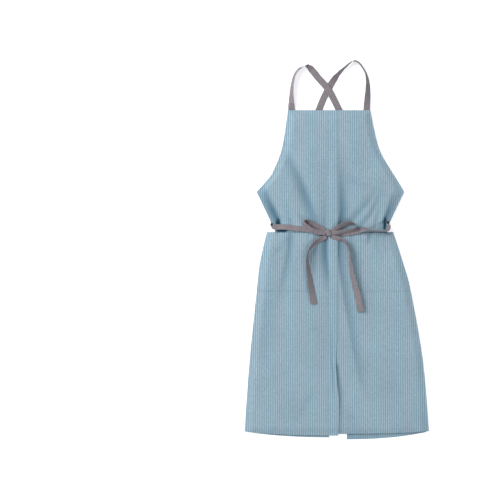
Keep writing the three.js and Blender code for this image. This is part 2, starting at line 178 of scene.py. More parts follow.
def outer_end(outlines, side, y):
    return panel_ends(outlines, side, y)[1]


def front_edge(side, y):
    """The front cloth's outer edge, easing into the notch that the tie comes through."""
    if y >= BIB[side].low:
        return outer_end(BIB, side, y)
    if y > NOTCH_TOP[side] or y <= SKIRT_TOP:
        return outer_end(SKIRT, side, y)
    low, high = SLOPE_READ
    slope = (outer_end(BIB, side, low) - outer_end(BIB, side, high)) / (low - high)
    wide = outer_end(SKIRT, side, NOTCH_TOP[side] + 0.5) + slope * (y - NOTCH_TOP[side])
    notch = outer_end(SKIRT, side, NOTCH_READ)
    share = float(smooth((NOTCH_TOP[side] - NOTCH_START[side] - y) / NOTCH_EASE[side]))
    return wide + (notch - wide) * share


# ---------------------------------------------------------------- folds

# Each fold: points (x, y, strength), reach to its left and right, depth, and how much painted shade its bottom
# gets.
BIB_FOLDS = [
    ([(-158, 306, 0), (-140, 268, 0.5), (-118, 224, 0.75), (-98, 176, 1), (-82, 134, 0.9), (-64, 86, 0.6)],
     18, 12, 4.8, 0.78),
    ([(-226, 190, 0.2), (-208, 152, 0.7), (-191, 118, 1), (-178, 90, 1), (-174, 66, 1)],
     17, 11, 7.0, 1.15),
    ([(8, 330, 0), (11, 250, 0.25), (13, 180, 0.7), (14, 120, 1), (10, 58, 1)], 5, 18, 5.0, 1),
    ([(-32, 300, 0), (-32, 230, 0.3), (-33, 170, 0.4), (-34, 110, 0.7), (-36, 58, 1)], 20, 6, 3.2, 0.5),
    ([(30, 66, 0.7), (58, 100, 1), (92, 138, 0.8), (126, 190, 0)], 12, 8, 3.6, 0.42),
    ([(70, 68, 0.7), (100, 102, 1), (122, 146, 0.6), (138, 186, 0)], 9, 8, 3.0, 0.4),
    ([(144, 58, 1), (145, 88, 1), (153, 112, 0.8), (168, 156, 0.4), (186, 188, 0)], 6, 17, 6.0, 1),
    ([(114, 66, 0.9), (122, 102, 0.7), (134, 138, 0)], 6, 6, 2.4, 0.35),
    ([(-166, 318, 0.9), (-146, 314, 0.5), (-112, 304, 0)], 7, 6, 1.6, 0.2),
    ([(-134, 68, 0.9), (-142, 104, 0.6), (-150, 150, 0)], 9, 8, 2.6, 0.36),
    ([(-100, 70, 0.8), (-110, 104, 0.5), (-118, 140, 0)], 8, 8, 2.0, 0.28),
    ([(-48, 330, 0), (-60, 290, 0.6), (-66, 240, 0.3), (-66, 210, 0)], 22, 22, 2.2, 0.16),
    ([(52, 350, 0), (64, 300, 0.5), (78, 260, 0.5), (96, 226, 0)], 20, 26, 2.4, 0.18),
    ([(-132, 392, 0.3), (-112, 350, 0.6), (-104, 300, 0.3), (-100, 262, 0)], 20, 16, 2.0, 0.12),
    ([(30, 230, 0), (52, 206, 0.7), (84, 190, 0.7), (116, 196, 0)], 14, 14, 2.2, 0.18),
    ([(-25.5, 414, 0.5), (-25.5, 240, 0.6), (-25.5, 120, 1), (-25.5, 50, 1)], 2.5, 1.5, 0.7, 0.3),
    ([(4, 414, 0), (4, 240, 0.2), (4.5, 120, 1), (4.5, 50, 1)], 1.5, 3, 0.7, 0.3),
]
SKIRT_FOLDS = [
    ([(-32, 48, 1), (-33, 6, 1), (-32, -30, 0.9), (-28, -70, 0.6), (-25, -130, 0)], 17, 6, 5.2, 1.1),
    ([(-62, 40, 0.7), (-66, 0, 0.8), (-66, -46, 0.5), (-62, -96, 0)], 8, 8, 2.8, 0.5),
    ([(9, 46, 1), (9, -10, 1), (14, -62, 0.9), (30, -160, 0.65), (58, -320, 0.5), (87, -462, 0)],
     7, 19, 4.4, 0.72),
    ([(-137, 46, 1), (-140, 10, 0.95), (-148, -44, 0.6), (-164, -110, 0.35), (-172, -160, 0)],
     9, 13, 4.0, 0.55),
    ([(98, 60, 1), (97, 36, 0.9), (94, 10, 0)], 6, 6, 3.4, 0.7),
    ([(-170, -40, 0.2), (-192, -140, 0.7), (-212, -250, 0.6), (-232, -380, 0)], 28, 36, 3.2, 0.2),
    ([(-30, -110, 0), (-33, -220, 0.3), (-36, -330, 0.5), (-40, -430, 0)], 24, 9, 2.6, 0.22),
    ([(-58, -404, 0), (-84, -452, 0.8), (-112, -500, 0.5), (-130, -530, 0)], 14, 14, 2.4, 0.2),
    ([(-144, 28, 0.4), (-172, -2, 0.7), (-204, -34, 0)], 10, 12, 2.4, 0.22),
    ([(150, -230, 0), (160, -330, 0.5), (176, -430, 0.4), (190, -500, 0)], 28, 28, 2.4, 0.12),
    ([(104, -60, 0), (112, -150, 0.4), (124, -250, 0)], 24, 24, 2.2, 0.12),
    ([(-96, -200, 0), (-100, -300, 0.4), (-112, -390, 0)], 28, 28, 2.4, 0.14),
    ([(22, -470, 0), (40, -500, 0.7), (62, -526, 0)], 13, 13, 1.8, 0.2),
    ([(140, 48, 0.8), (146, 10, 0.4), (150, -30, 0)], 8, 10, 2.2, 0.3),
    ([(44, 44, 0.9), (46, 6, 0.7), (54, -50, 0)], 9, 9, 2.4, 0.35),
    ([(122, 44, 0.7), (126, 4, 0.4), (136, -60, 0)], 10, 10, 2.0, 0.2),
    ([(-25.5, 46, 1), (-25.5, -100, 0.7), (-25.5, -545, 0.4)], 3, 1.5, 0.7, 0.32),
    ([(-4, -336, 0), (-1, -352, 1), (4, -390, 1), (9, -430, 0.8), (11, -480, 0.5), (11, -548, 0.4)],
     4, 7, 1.4, 0.85),
]
PLACKET_FOLDS = [
    ([(-17, -190, 0), (-17, -300, 0.7), (-13, -372, 1), (-11, -440, 0)], 4, 4, 0.9, 0.5),
    ([(-9, 240, 0), (-10, 150, 0.5), (-9, 80, 0.6)], 4, 4, 0.5, 0.14),
]
# Places given deep painted shade, in the slots beside the ties: x, y, half width, half height.
HOLLOWS = [(-166, 57, 17, 5), (-176, 74, 6, 16), (144, 76, 4.5, 18)]
HOLLOW_SHADE = 2.2
# The cloth's own unevenness: height, size, seed.
RIPPLES = [(0.75, 74, 3.1), (0.3, 27, 8.7)]
EVEN_MARGIN = 14
# Where the tie presses the cloth down: height, reach, share of the puff taken away.
WAIST_PRESS = (58, 26, 0.35)


def fold_shape(x, y, fold):
    """How deep a fold is at each point, from 0 to 1."""
    path, left, right, _, _ = fold
    best = np.zeros_like(x)
    for (x0, y0, s0), (x1, y1, s1) in zip(path, path[1:]):
        dx, dy = x1 - x0, y1 - y0
        length = math.hypot(dx, dy)
        along = np.clip(((x - x0) * dx + (y - y0) * dy) / length**2, 0, 1)
        away_x = x - x0 - along * dx
        away_y = y - y0 - along * dy
        across = (away_x * dy - away_y * dx) / length * (1 if dy < 0 else -1)
        away = np.hypot(away_x, away_y)
        width = np.where(across > 0, left, right)
        best = np.maximum(best, (s0 + (s1 - s0) * along) * np.exp(-(away / width) ** 2))
    return best


def hollow(x, y):
    deep = np.zeros_like(x)
    for cx, cy, half_x, half_y in HOLLOWS:
        deep = np.maximum(deep, smooth(1.6 - np.hypot((x - cx) / half_x, (y - cy) / half_y)))
    return deep


def ripple(x, y, size, seed):
    """A smooth seeded unevenness, from -1 to 1."""
    flat_x, flat_y = np.ravel(x), np.ravel(y)
    values = [noise.noise(Vector((a / size, b / size, seed))) for a, b in zip(flat_x, flat_y)]
    return np.array(values).reshape(np.shape(x))


def front_folds(x, y):
    """(drop below the puffed cloth, shade) of the front at each point."""
    drop = np.zeros_like(x)
    shade = np.zeros_like(x)
    for folds, part in ((BIB_FOLDS, smooth((y - 30) / 30)), (SKIRT_FOLDS, smooth((70 - y) / 30))):
        for fold in folds:
            shape = fold_shape(x, y, fold) * part
            drop += shape * fold[3]
            shade = shade + shape * fold[4] * (1 - 0.5 * np.clip(shade, 0, 1))
    return drop, shade


def edge_distance(x, y):
    """Roughly how far a point is from the front's own outline, bib top and hem."""
    rows = np.round(np.ravel(y)).astype(int)
    table = {row: (front_edge("left", row), front_edge("right", row)) for row in np.unique(rows)}
    left = np.array([table[row][0] for row in rows]).reshape(np.shape(x))
    right = np.array([table[row][1] for row in rows]).reshape(np.shape(x))
    across = np.minimum(x - left, right - x)
    along = np.minimum(BIB_TOP - y, y - SKIRT["left"].low)
    return np.minimum(across, along)


def front_height(x, y):
    """(z of the front cloth's upper face, shade)."""
    x = np.asarray(x, float)
    y = np.asarray(y, float)
    drop, shade = front_folds(x, y)
    inside = edge_distance(x, y)
    tie_y, tie_reach, tie_share = WAIST_PRESS
    rise = PUFF * smooth(inside / PUFF_REACH) * (1 - tie_share * np.exp(-(((y - tie_y) / tie_reach) ** 2)))
    uneven = sum(height * ripple(x, y, size, seed) for height, size, seed in RIPPLES)
    uneven = uneven * smooth(inside / EVEN_MARGIN)
    deep = hollow(x, y)
    lowest = FRONT_REST - 0.5
    z = FRONT_REST + rise + uneven - drop
    z = np.maximum(z, lowest + 0.4 * np.exp(np.minimum(z - lowest, 0)))
    return z, np.clip(shade, 0, 1.1) * (1 - deep) + HOLLOW_SHADE * deep


# ---------------------------------------------------------------- meshes

def finish_mesh(mesh, uv, shade):
    mesh.validate()
    layer = mesh.uv_layers.new(name="flat")
    corner = np.zeros(len(mesh.loops), np.int32)
    mesh.loops.foreach_get("vertex_index", corner)
    layer.data.foreach_set("uv", uv[corner].astype(np.float32).ravel())
    # Painted shade per point, which the cloth's colour reads; pieces given none get no painted shade.
    attribute = mesh.attributes.new("shade", "FLOAT", "POINT")
    values = np.zeros(len(mesh.vertices)) if shade is None else shade
    attribute.data.foreach_set("value", values.astype(np.float32))
    mesh.shade_smooth()
    mesh.set_sharp_from_angle(angle=math.radians(60))


def add_object(name, mesh):
    obj = bpy.data.objects.new(name, mesh)
    bpy.context.scene.collection.objects.link(obj)
    return obj


def face_outward(obj):
    """Turns every face over if the closed mesh came out inside out."""
    bm = bmesh.new()
    bm.from_mesh(obj.data)
    if bm.calc_volume(signed=True) < 0:
        bmesh.ops.reverse_faces(bm, faces=bm.faces)
        bm.to_mesh(obj.data)
    bm.free()


def add_mesh(name, points, faces, uv, shade=None):
    """A closed mesh, from points in millimetres and flat coordinates in metres."""
    mesh = bpy.data.meshes.new(name)
    mesh.from_pydata((points * MM).tolist(), [], faces)
    finish_mesh(mesh, uv, shade)
    obj = add_object(name, mesh)
    face_outward(obj)
    return obj


def sheet_mesh(name, upper, uv, thickness, shade):
    """A sheet with thickness: the grid upper (rows, columns, xyz) and its copy sunk along the normals."""
    rows, columns, _ = upper.shape
    normal = np.cross(np.gradient(upper, axis=0), np.gradient(upper, axis=1))
    normal /= np.linalg.norm(normal, axis=2, keepdims=True) + 1e-12
    lower = upper - normal * thickness
    points = np.concatenate([upper.reshape(-1, 3), lower.reshape(-1, 3)])
    index = np.arange(rows * columns).reshape(rows, columns)
    a, b, c, d = index[:-1, :-1], index[:-1, 1:], index[1:, 1:], index[1:, :-1]
    top = np.stack([a, d, c, b], axis=-1).reshape(-1, 4)
    bottom = np.stack([a, b, c, d], axis=-1).reshape(-1, 4) + rows * columns
    loop = np.concatenate([index[0, :-1], index[:-1, -1], index[-1, :0:-1], index[:0:-1, 0]])
    after = np.roll(loop, -1)
    rim = np.stack([loop, after, after + rows * columns, loop + rows * columns], axis=-1)
    faces = np.concatenate([top, bottom, rim]).tolist()
    both = np.concatenate([uv.reshape(-1, 2)] * 2)
    return add_mesh(name, points, faces, both, np.concatenate([shade.ravel()] * 2))


def tube_faces(rows, columns):
    """Faces round a tube of rings, and a fan over each end from two middle points that follow the rings."""
    index = np.arange(rows * columns).reshape(rows, columns)
    beside = np.roll(index, -1, axis=1)
    quads = np.stack([index[:-1], beside[:-1], beside[1:], index[1:]], axis=-1).reshape(-1, 4).tolist()
    first, last = rows * columns, rows * columns + 1
    caps = [[first, int(b), int(a)] for a, b in zip(index[0], beside[0])]
    caps += [[last, int(a), int(b)] for a, b in zip(index[-1], beside[-1])]
    return quads + caps


def steps(length):
    return max(2, int(round(abs(length) / GRAIN)) + 1)


def flat_size(grid):
    """((width, length), area) of a grid laid out flat, in metres."""
    across = np.linalg.norm(np.diff(grid, axis=1), axis=2).sum(axis=1)
    down = np.linalg.norm(np.diff(grid, axis=0), axis=2).sum(axis=0)
    a = grid[:-1, :-1]
    cells = np.cross(grid[:-1, 1:] - a, grid[1:, :-1] - a)
    area = np.linalg.norm(cells, axis=2).sum()
    return (across.max() * MM, down.max() * MM), area * MM * MM


LEAST_SIDE = 0.0101
LEAST_FILL = 0.31


def declare(obj, size, area, held, rests_on):
    """Clamps a sheet's flat size and area to what a sheet may be; the result is not kept."""
    width, length = (max(side, LEAST_SIDE) for side in size)
    area = min(max(area, LEAST_FILL * width * length), width * length)


def attach(obj, body=None, bend=None):
    """Carries a piece with one body; a piece given a bend is baked in place instead."""
    if bend:
        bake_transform(obj)
    else:
        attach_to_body(obj, body)


def dress(obj, material):
    obj.data.materials.append(material)


# ---------------------------------------------------------------- materials

def new_material(name):
    material = bpy.data.materials.new(name)
    material.use_nodes = True
    tree = material.node_tree
    return material, tree, tree.nodes["Principled BSDF"]


def set_inputs(tree, made, inputs):
    """Links or sets the inputs of a node."""
    for key, value in inputs.items():
        if isinstance(value, bpy.types.NodeSocket):
            tree.links.new(value, made.inputs[key])
        else:
            made.inputs[key].default_value = value


def node(tree, kind, inputs, **settings):
    made = tree.nodes.new(kind)
    for key, value in settings.items():
        setattr(made, key, value)
    set_inputs(tree, made, inputs)
    return made


def math_node(tree, operation, a, b=0.0, c=0.0, clamp=False):
    made = node(tree, "ShaderNodeMath", {0: a, 1: b, 2: c}, operation=operation, use_clamp=clamp)
    return made.outputs[0]


def noise_node(tree, vector, scale, detail):
    inputs = {"Vector": vector, "Scale": scale, "Detail": detail}
    return node(tree, "ShaderNodeTexNoise", inputs).outputs["Fac"]


def wave_node(tree, vector, scale, distortion, direction="X"):
    inputs = {"Vector": vector, "Scale": scale, "Distortion": distortion}
    return node(tree, "ShaderNodeTexWave", inputs, bands_direction=direction).outputs["Fac"]


def flat_map(tree):
    return node(tree, "ShaderNodeUVMap", {}, uv_map="flat").outputs["UV"]


def stretched_map(tree, flat, scale_x, scale_y):
    """The flat coordinates, each at a scale of its own."""
    parts = node(tree, "ShaderNodeSeparateXYZ", {0: flat}).outputs
    scaled = {i: math_node(tree, "MULTIPLY", parts[i], scale) for i, scale in enumerate((scale_x, scale_y))}
    return node(tree, "ShaderNodeCombineXYZ", scaled).outputs[0]


def add_bump(tree, shader, height, strength, distance=0.0004):
    bump = node(tree, "ShaderNodeBump", {"Height": height, "Strength": strength, "Distance": distance})
    tree.links.new(bump.outputs[0], shader.inputs["Normal"])


def mix_colour(tree, share, a, b, blend="MIX"):
    made = node(tree, "ShaderNodeMix", {}, data_type="RGBA", blend_type=blend)
    set_inputs(tree, made, {0: share, 6: a, 7: b})
    return made.outputs[2]


def ramp(tree, fac, stops):
    made = node(tree, "ShaderNodeValToRGB", {"Fac": fac})
    elements = made.color_ramp.elements
    while len(elements) < len(stops):
        elements.new(0.5)
    for element, (position, value) in zip(elements, stops):
        element.position = position
        element.color = (value, value, value, 1)
    return made.outputs["Color"]


def srgb(r, g, b, gain=1.0):
    """A colour given as it looks, from 0 to 255, as linear light."""
    linear = [((c / 255 + 0.055) / 1.055) ** 2.4 for c in (r, g, b)]
    return (linear[0] * gain, linear[1] * gain, linear[2] * gain, 1)


CLOTH_GAIN = 0.86
TAPE_GAIN = 0.9


def cloth_material():
    """Pale blue cotton with fine lengthwise stripes of broken lighter threads, darkened by painted shade in
    folds and hollows.
    """
    material, tree, shader = new_material("striped_cotton")
    flat = flat_map(tree)
    across = node(tree, "ShaderNodeSeparateXYZ", {0: flat}).outputs[0]
    bent = math_node(tree, "MULTIPLY_ADD", noise_node(tree, flat, 18, 2), 0.0012, across)
    cycle = math_node(tree, "FRACT", math_node(tree, "MULTIPLY", bent, 1000 / STRIPE_PITCH))
    stripe = ramp(tree, cycle, [(0.0, 0.0), (0.30, 0.06), (0.46, 1.0), (0.62, 0.9), (0.80, 0.1), (1.0, 0.0)])
    threads = stretched_map(tree, flat, 300, 210)
    dashes = ramp(tree, noise_node(tree, threads, 1, 3), [(0.3, 0.35), (0.55, 1.0), (1.0, 1.0)])
    light = math_node(tree, "MULTIPLY", stripe, dashes)
    striped = mix_colour(tree, light, srgb(133, 164, 181, CLOTH_GAIN), srgb(186, 202, 211, CLOTH_GAIN))
    cloud = ramp(tree, noise_node(tree, flat, 9, 4), [(0.3, 0.95), (0.7, 1.05)])
    tinted = mix_colour(tree, 1.0, striped, cloud, "MULTIPLY")
    slub = ramp(tree, noise_node(tree, threads, 0.45, 4), [(0.32, 0.93), (0.62, 1.04)])
    woven = mix_colour(tree, 0.8, tinted, slub, "MULTIPLY")
    # The shade attribute is painted shade: it mixes the cloth towards a darker blue in fold valleys and
    # towards near-black navy in the hollows beside the ties.
    shade = node(tree, "ShaderNodeAttribute", {}, attribute_name="shade").outputs["Fac"]
    in_fold = math_node(tree, "MULTIPLY", shade, 0.82, clamp=True)
    fold_shaded = mix_colour(tree, in_fold, woven, srgb(82, 121, 142, CLOTH_GAIN))
    in_hollow = math_node(tree, "MULTIPLY", math_node(tree, "SUBTRACT", shade, 1.0), 0.9, clamp=True)
    hollow_shaded = mix_colour(tree, in_hollow, fold_shaded, srgb(26, 48, 62))
    set_inputs(tree, shader, {"Base Color": hollow_shaded, "Roughness": 0.88, "Sheen Weight": 0.12,
                              "Sheen Roughness": 0.5, "Specular IOR Level": 0.2})
    weave = math_node(tree, "ADD", wave_node(tree, flat, 190, 0.6), wave_node(tree, flat, 190, 0.6, "Y"))
    add_bump(tree, shader, math_node(tree, "MULTIPLY_ADD", light, 1.2, weave), 0.22)
    return material


def tape_material():
    """Warm grey melange tape with a fine twill."""
    material, tree, shader = new_material("melange_tape")
    flat = flat_map(tree)
    fleck = noise_node(tree, stretched_map(tree, flat, 900, 260), 1, 4)
    share = ramp(tree, fleck, [(0.36, 0.0), (0.64, 1.0)])
    mixed = mix_colour(tree, share, srgb(112, 106, 111, TAPE_GAIN), srgb(156, 148, 153, TAPE_GAIN))
    twill = wave_node(tree, flat, 170, 0.3, "DIAGONAL")
    lined = mix_colour(tree, 0.35, mixed, ramp(tree, twill, [(0.0, 0.75), (1.0, 1.1)]), "MULTIPLY")
    set_inputs(tree, shader, {"Base Color": lined, "Roughness": 0.9, "Sheen Weight": 0.1,
                              "Specular IOR Level": 0.2})
    add_bump(tree, shader, math_node(tree, "ADD", twill, fleck), 0.35)
    return material


def elastic_material():
    """Black ribbed elastic."""
    material, tree, shader = new_material("black_elastic")
    flat = flat_map(tree)
    ribs = wave_node(tree, flat, 330, 0.4)
    share = math_node(tree, "MULTIPLY", ribs, noise_node(tree, flat, 900, 3))
    colour = mix_colour(tree, share, srgb(16, 18, 22), srgb(52, 54, 60))
    set_inputs(tree, shader, {"Base Color": colour, "Roughness": 0.7})
    add_bump(tree, shader, ribs, 0.5, 0.0005)
    return material


def thread_material():
    """Sewing thread in the colour of the cloth."""
    material, tree, shader = new_material("sewing_thread")
    place = node(tree, "ShaderNodeTexCoord", {}).outputs["Object"]
    ply = wave_node(tree, place, 700, 0.5, "DIAGONAL")
    colour = mix_colour(tree, ply, srgb(120, 150, 168), srgb(158, 182, 196))
    set_inputs(tree, shader, {"Base Color": colour, "Roughness": 0.6})
    return material


COTTON = cloth_material()
MELANGE = tape_material()
ELASTIC = elastic_material()
THREAD = thread_material()


# ---------------------------------------------------------------- the front

ROLL_SHADE = 0.1


def add_roll(grid, shade, side, under, back_z):
    """Carries a front grid round its outer edge and a little way in again underneath."""
    edge = grid[:, -1]
    radius = (edge[:, 2] - back_z) / 2
    centre_z = (edge[:, 2] + back_z) / 2
    columns = [grid]
    for i in range(1, ROLL_STEPS + 1):
        turn = math.pi * i / ROLL_STEPS
        column = edge.copy()
        column[:, 0] = edge[:, 0] + SIDES[side] * radius * math.sin(turn)
        column[:, 2] = centre_z + radius * math.cos(turn)
        columns.append(column[:, None])
    for i in range(1, UNDER_STEPS + 1):
        column = column.copy()
        column[:, 0] = edge[:, 0] - SIDES[side] * (under - radius) * i / UNDER_STEPS
        column[:, 2] = back_z
        columns.append(column[:, None])
    whole = np.concatenate(columns, axis=1)
    rolled = np.full((len(shade), ROLL_STEPS + UNDER_STEPS), ROLL_SHADE)
    return whole, np.concatenate([shade, rolled], axis=1)


def flat_uv(grid):
    """Flat coordinates: x across with the cloth's own length round a roll, y along the grain."""
    step = np.linalg.norm(np.diff(grid, axis=1)[:, :, [0, 2]], axis=2)
    sign = np.sign(grid[:, 1:2, 0] - grid[:, 0:1, 0])
    across = np.concatenate([grid[:, :1, 0], grid[:, :1, 0] + sign * np.cumsum(step, axis=1)], axis=1)
    return np.stack([across * MM, grid[:, :, 1] * MM], axis=-1)


def front_grid(side, top, bottom_of, edge_of, widest):
    """Rows from top down to bottom_of(x), columns from the seam out to the edge; widest is a height."""
    inner = SEAM_X + SIDES[side] * SEAM_HALF_GAP
    lowest = min(bottom_of(inner), bottom_of(edge_of(bottom_of(inner))))
    u = np.linspace(0, 1, steps(edge_of(widest) - inner))
    v = np.linspace(0, 1, steps(top - lowest))
    hem_x = inner + (edge_of(lowest + 2) - inner) * u
    hem_y = np.array([bottom_of(x) for x in hem_x])
    y = top + (hem_y[None, :] - top) * v[:, None]
    edge = np.array([[edge_of(row[0]), edge_of(row[-1])] for row in y])
    edge = edge[:, :1] + (edge[:, 1:] - edge[:, :1]) * u[None, :]
    x = inner + (edge - SIDES[side] * EDGE_RADIUS - inner) * u[None, :]
    return x, y


def cloth_piece(name, grid, shade, replaces, rests_on, body=None, bend=None, thickness=CLOTH):
    obj = sheet_mesh(name, grid, flat_uv(grid), thickness, shade)
    dress(obj, COTTON)
    declare(obj, *flat_size(grid), "laid", rests_on)
    attach(obj, body, bend)
    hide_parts(*replaces)


def facing_piece(name, grid, shade, node_name, rests_on, body):
    """A turned-in edge of one cloth, evenly shaded."""
    cloth_piece(name, grid, np.full(grid.shape[:2], float(shade)), [node_name], [rests_on], body=body,
                thickness=FACING_THICK)


BIB_BEND = ("skirt", "bib", (0, FOLD_START * MM, 0), (0, FOLD_END * MM, 0))
BIB_ROLL_Z = FRONT_REST - 1.9
SKIRT_WIDEST_READ = -300


def make_bib_front(side):
    x, y = front_grid(side, BIB_TOP, lambda _: WAIST_SPLIT, lambda row: front_edge(side, row), SIDE_POINT)
    z, shade = front_height(x, y)
    whole, shade = add_roll(np.stack([x, y, z], axis=-1), shade, side, TURN_UNDER, BIB_ROLL_Z)
    cloth_piece(f"bib_front_{side}_cloth", whole, shade, [f"bib_front_{side}", f"armhole_facing_{side}"],
                [f"wing_{side}_cloth"], bend=BIB_BEND)


def make_skirt_front(side):
    """The skirt's front, which ducks under the bib's lower end."""
    x, y = front_grid(side, WAIST_SPLIT + SPLIT_OVERLAP, SKIRT[side].hem(SKIRT_HEM_BELOW),
                      lambda row: front_edge(side, min(row, SKIRT_TOP - 0.5)), SKIRT_WIDEST_READ)
    z, shade = front_height(x, y)
    z = z - LAYER * smooth((y - 30) / 12)
    whole, shade = add_roll(np.stack([x, y, z], axis=-1), shade, side, WRAP_UNDER, BACK_TOP)
    cloth_piece(f"skirt_front_{side}_cloth", whole, shade, [f"skirt_front_{side}", f"back_side_{side}"],
                [f"back_panel_{side}_cloth"], body="skirt")


for side in SIDES:
    make_bib_front(side)
    make_skirt_front(side)


# ---------------------------------------------------------------- placket

VENT_TOP = -328
PLACKET = node_box("skirt_placket")
PLACKET_COLUMNS = 14
PIECE_GAP = 0.2
LAP_INSET = 1.2
BUCKLE_DEPTH = 6
BUCKLE_ABOVE = 42
BUCKLE_BELOW = 75
CROWN = 0.7
BIB_TOP_FLATTER = 0.45
VENT_LIFT = 2.6


def lap_edge(y):
    """The placket's free edge: it buckles inward at the top of the vent and hangs a little open below."""
    reach = np.where(y > VENT_TOP, BUCKLE_ABOVE, BUCKLE_BELOW)
    buckle = BUCKLE_DEPTH * np.exp(-(((y - VENT_TOP) / reach) ** 2))
    spread = 3.4 * smooth((VENT_TOP - 70 - y) / 50) - 1.5 * smooth((VENT_TOP - 170 - y) / 60)
    return PLACKET[1][0] - LAP_INSET - buckle + spread


def make_placket(name, top, bottom, replaces, body=None, bend=None):
    y = np.linspace(top, bottom, steps(top - bottom))
    u = np.linspace(0, 1, PLACKET_COLUMNS)
    left = PLACKET[0][0]
    x = left + (lap_edge(y)[:, None] - left) * u[None, :]
    rows = np.repeat(y[:, None], len(u), axis=1)
    z, shade = front_height(np.clip(x, left + 2, None), rows)
    middle_z, _ = front_height(np.full_like(x, -10), rows)
    flat = BIB_TOP_FLATTER * smooth((rows - 220) / 90)
    z = np.maximum(z, middle_z - 0.4) + LAYER - flat
    crown = (CROWN - flat) * np.sin(np.pi * u)[None, :]
    vent = smooth((VENT_TOP + 40 - rows) / 50)
    lift = VENT_LIFT * vent * (u[None, :] ** 3) * (1 - 0.5 * smooth((VENT_TOP - 120 - rows) / 60))
    grid = np.stack([x, rows, z + crown + lift], axis=-1)
    # Painted shade: a tenth of the front's fold shade, and the placket's own folds below.
    shade = shade * 0.1
    dip = np.zeros_like(x)
    for fold in PLACKET_FOLDS:
        shape = fold_shape(x, rows, fold)
        dip += shape * fold[3]
        shade += shape * fold[4]
    grid[:, :, 2] -= dip
    cloth_piece(name, grid, shade, replaces, ["skirt_front_left_cloth", "skirt_front_right_cloth"], body, bend)


make_placket("bib_placket_cloth", BIB_TOP - PIECE_GAP, WAIST_SPLIT + PIECE_GAP, ["bib_placket"], bend=BIB_BEND)
make_placket("skirt_placket_cloth", WAIST_SPLIT - PIECE_GAP, PLACKET[0][1] - PIECE_GAP, ["skirt_placket"],
             body="skirt")


# ---------------------------------------------------------------- pockets

POCKET_EDGE_INSET = 0.6
MOUTH_REACH = 26
MOUTH_GAPE = 1.8
MOUTH_FACING_DEPTH = 20


def rows_between(ends_at, side, heights, columns, inset=0.0):
    """x along each row, in even steps from a panel's inner end to just inside its outer one."""
    inner, outer = np.array([ends_at(y) for y in heights]).T
    outer = outer - SIDES[side] * inset
    return inner[:, None] + (outer - inner)[:, None] * np.linspace(0, 1, columns)[None, :]


def make_pocket(side):
    top, bottom = POCKET[side].high, POCKET[side].low
    u = np.linspace(0, 1, steps(150))
    y = np.linspace(top, bottom, steps(top - bottom))
    x = rows_between(lambda row: panel_ends(POCKET, side, row), side, y, len(u), POCKET_EDGE_INSET)
    rows = np.repeat(y[:, None], len(u), axis=1)
    z, shade = front_height(x, rows)
    near_mouth = smooth((rows - (top - MOUTH_REACH)) / MOUTH_REACH)
    gape = MOUTH_GAPE * near_mouth * np.sin(np.pi * u) ** 0.6
    side_dip = 1.1 * smooth((u - 0.975) / 0.025)
    seam_dip = 0.35 * (smooth((6 - (rows - bottom)) / 6) + smooth((0.03 - u) / 0.03)[None, :])
    grid = np.stack([x, rows, z + LAYER + gape - side_dip[None, :] - np.minimum(seam_dip, 0.3)], axis=-1)
    # Painted fold shade, weaker near the gaping mouth and capped.
    shade = np.clip(shade * (1 - 0.4 * near_mouth), 0, 0.8)
    below = f"skirt_front_{side}_cloth"
    cloth_piece(f"pocket_{side}_cloth", grid, shade, [f"pocket_{side}"], [below], "skirt")
    under = grid[y > top - MOUTH_FACING_DEPTH] - [0, 0.8, 0.85]
    facing_piece(f"pocket_{side}_mouth_facing", under, 0, f"pocket_facing_{side}", below, "skirt")


for side in SIDES:
    make_pocket(side)


# ---------------------------------------------------------------- hems, facings

HEM_ROWS = 5
HEM_TURN = 11.5
UNDER_FRONT = 1.0
FACING_LOWEST = 2.9


def strip_under(name, x, y, body, node_name, rests_on):
    """A turned-in strip under the front cloth."""
    z = np.maximum(front_height(x, y)[0] - UNDER_FRONT, FACING_LOWEST)
    facing_piece(name, np.stack([x, y, z], axis=-1), 0.1, node_name, rests_on, body)


def make_front_hem(side):
    low, high = node_box(f"front_hem_{side}")
    hem = SKIRT[side].hem(SKIRT_HEM_BELOW)
    x = np.linspace(low[0] + 2, high[0] - 2, steps(high[0] - low[0]))
    v = np.linspace(0, 1, HEM_ROWS)
    y = np.array([hem(value) for value in x])[None, :] + 0.9 + HEM_TURN * v[:, None]
    strip_under(f"front_hem_{side}_turned", np.repeat(x[None, :], HEM_ROWS, axis=0), y, "skirt",
                f"front_hem_{side}", f"back_panel_{side}_cloth")


def make_bib_top():
    low, high = node_box("bib_top_facing")
    x = np.linspace(low[0] + 1, high[0] - 1, steps(high[0] - low[0]))
    grid_x, grid_y = np.meshgrid(x, np.linspace(BIB_TOP - 0.8, low[1], HEM_ROWS))
    strip_under("bib_top_turned", grid_x, grid_y, "bib", "bib_top_facing", "bib_front_left_cloth")


for side in SIDES:
    make_front_hem(side)
make_bib_top()


# ---------------------------------------------------------------- topstitching

STITCH_PITCH = 3.2
STITCH_LENGTH = 2.4
STITCH_RADIUS = 0.22
STITCH_SIDES = 6
STITCH_INSET = 2.2
# Along one stitch: where each ring stands, as a share of its length, and its size, as a share of its radius.
STITCH_RINGS = ((-0.5, 0.55), (0.0, 1.0), (0.5, 0.55))
ARMHOLE_STITCH_INSET = 7.5
ARMHOLE_STITCH_LOW = 190
BIB_TOP_STITCH_Y = BIB_TOP - 12


def evenly(path, pitch):
    """Points along a path, one pitch apart, with the direction at each."""
    path = np.array(path, dtype=float)
    reach = np.concatenate([[0], np.cumsum(np.linalg.norm(np.diff(path, axis=0), axis=1))])
    along = np.arange(pitch / 2, reach[-1] - pitch / 2, pitch)
    centre = np.stack([np.interp(along, reach, path[:, i]) for i in range(2)], axis=-1)
    ahead = np.stack([np.interp(along + 0.5, reach, path[:, i]) for i in range(2)], axis=-1) - centre
    return centre, ahead / np.linalg.norm(ahead, axis=1, keepdims=True)


